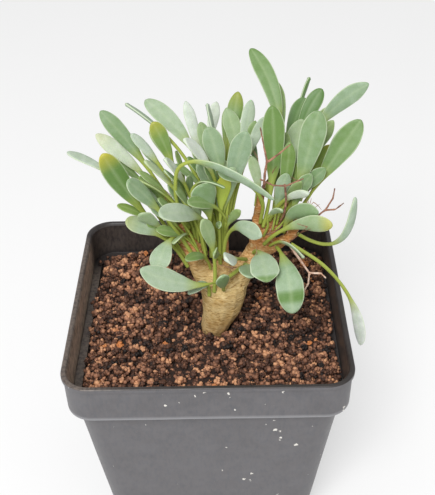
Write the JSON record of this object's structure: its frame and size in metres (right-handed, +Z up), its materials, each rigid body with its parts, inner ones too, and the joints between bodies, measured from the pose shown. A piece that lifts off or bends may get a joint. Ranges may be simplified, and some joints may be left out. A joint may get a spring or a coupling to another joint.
{
  "type": "potted pachypodium",
  "caption": "Small fat-trunked succulent with spoon-shaped leaves, growing in granular soil in a square plastic nursery pot.",
  "frame": {"origin": "centre of the pot's flat underside", "axes": "+Z up out of the pot's mouth, +Y towards the back of the plant, +X to the plant's right as seen from the front"},
  "size_m": [0.0983, 0.09, 0.1543],
  "materials": {
    "pot_plastic": "black injection-moulded polypropylene, satin and slightly dusty",
    "soil_grit": "red-brown fired clay granules",
    "bark": "tan corky bark with fine cross wrinkles",
    "leaf_glaucous": "fleshy leaf with a grey-green waxy bloom",
    "leaf_pale": "fleshy leaf with a thick, nearly white bloom",
    "leaf_fresh": "fleshy leaf, mid green with little bloom",
    "leaf_yellowing": "ageing fleshy leaf, yellow-tan",
    "stalk_dry": "dry brown flower stalk"
  },
  "bodies": {
    "root": {"pot": "pot_plastic", "soil": "soil_grit", "plant_body": "bark", "leaf_01": "leaf_pale", "leaf_02": "leaf_pale", "leaf_03": "leaf_fresh", "leaf_04": "leaf_fresh", "leaf_05": "leaf_glaucous", "leaf_06": "leaf_fresh", "leaf_07": "leaf_fresh", "leaf_08": "leaf_glaucous", "leaf_09": "leaf_pale", "leaf_10": "leaf_pale", "leaf_11": "leaf_fresh", "leaf_12": "leaf_pale", "leaf_13": "leaf_pale", "leaf_14": "leaf_pale", "leaf_15": "leaf_pale", "leaf_16": "leaf_fresh", "leaf_17": "leaf_glaucous", "leaf_18": "leaf_pale", "leaf_19": "leaf_fresh", "leaf_20": "leaf_glaucous", "leaf_21": "leaf_glaucous", "leaf_22": "leaf_glaucous", "leaf_23": "leaf_pale", "leaf_24": "leaf_fresh", "leaf_25": "leaf_fresh", "leaf_26": "leaf_fresh", "leaf_27": "leaf_fresh", "leaf_28": "leaf_fresh", "leaf_29": "leaf_glaucous", "leaf_30": "leaf_pale", "leaf_31": "leaf_glaucous", "leaf_32": "leaf_glaucous", "leaf_33": "leaf_fresh", "leaf_34": "leaf_glaucous", "leaf_35": "leaf_pale", "leaf_36": "leaf_glaucous", "leaf_37": "leaf_glaucous", "leaf_38": "leaf_glaucous", "leaf_39": "leaf_glaucous", "leaf_40": "leaf_glaucous", "leaf_41": "leaf_glaucous", "leaf_42": "leaf_glaucous", "leaf_43": "leaf_glaucous", "leaf_44": "leaf_glaucous", "leaf_45": "leaf_glaucous", "leaf_46": "leaf_glaucous", "leaf_47": "leaf_glaucous", "leaf_48": "leaf_yellowing", "leaf_49": "leaf_glaucous", "leaf_50": "leaf_glaucous", "leaf_51": "leaf_glaucous", "leaf_52": "leaf_glaucous", "leaf_53": "leaf_glaucous", "stalk_1": "stalk_dry", "stalk_2": "stalk_dry", "stalk_3": "stalk_dry", "stalk_4": "stalk_dry"}
  },
  "joints": []
}
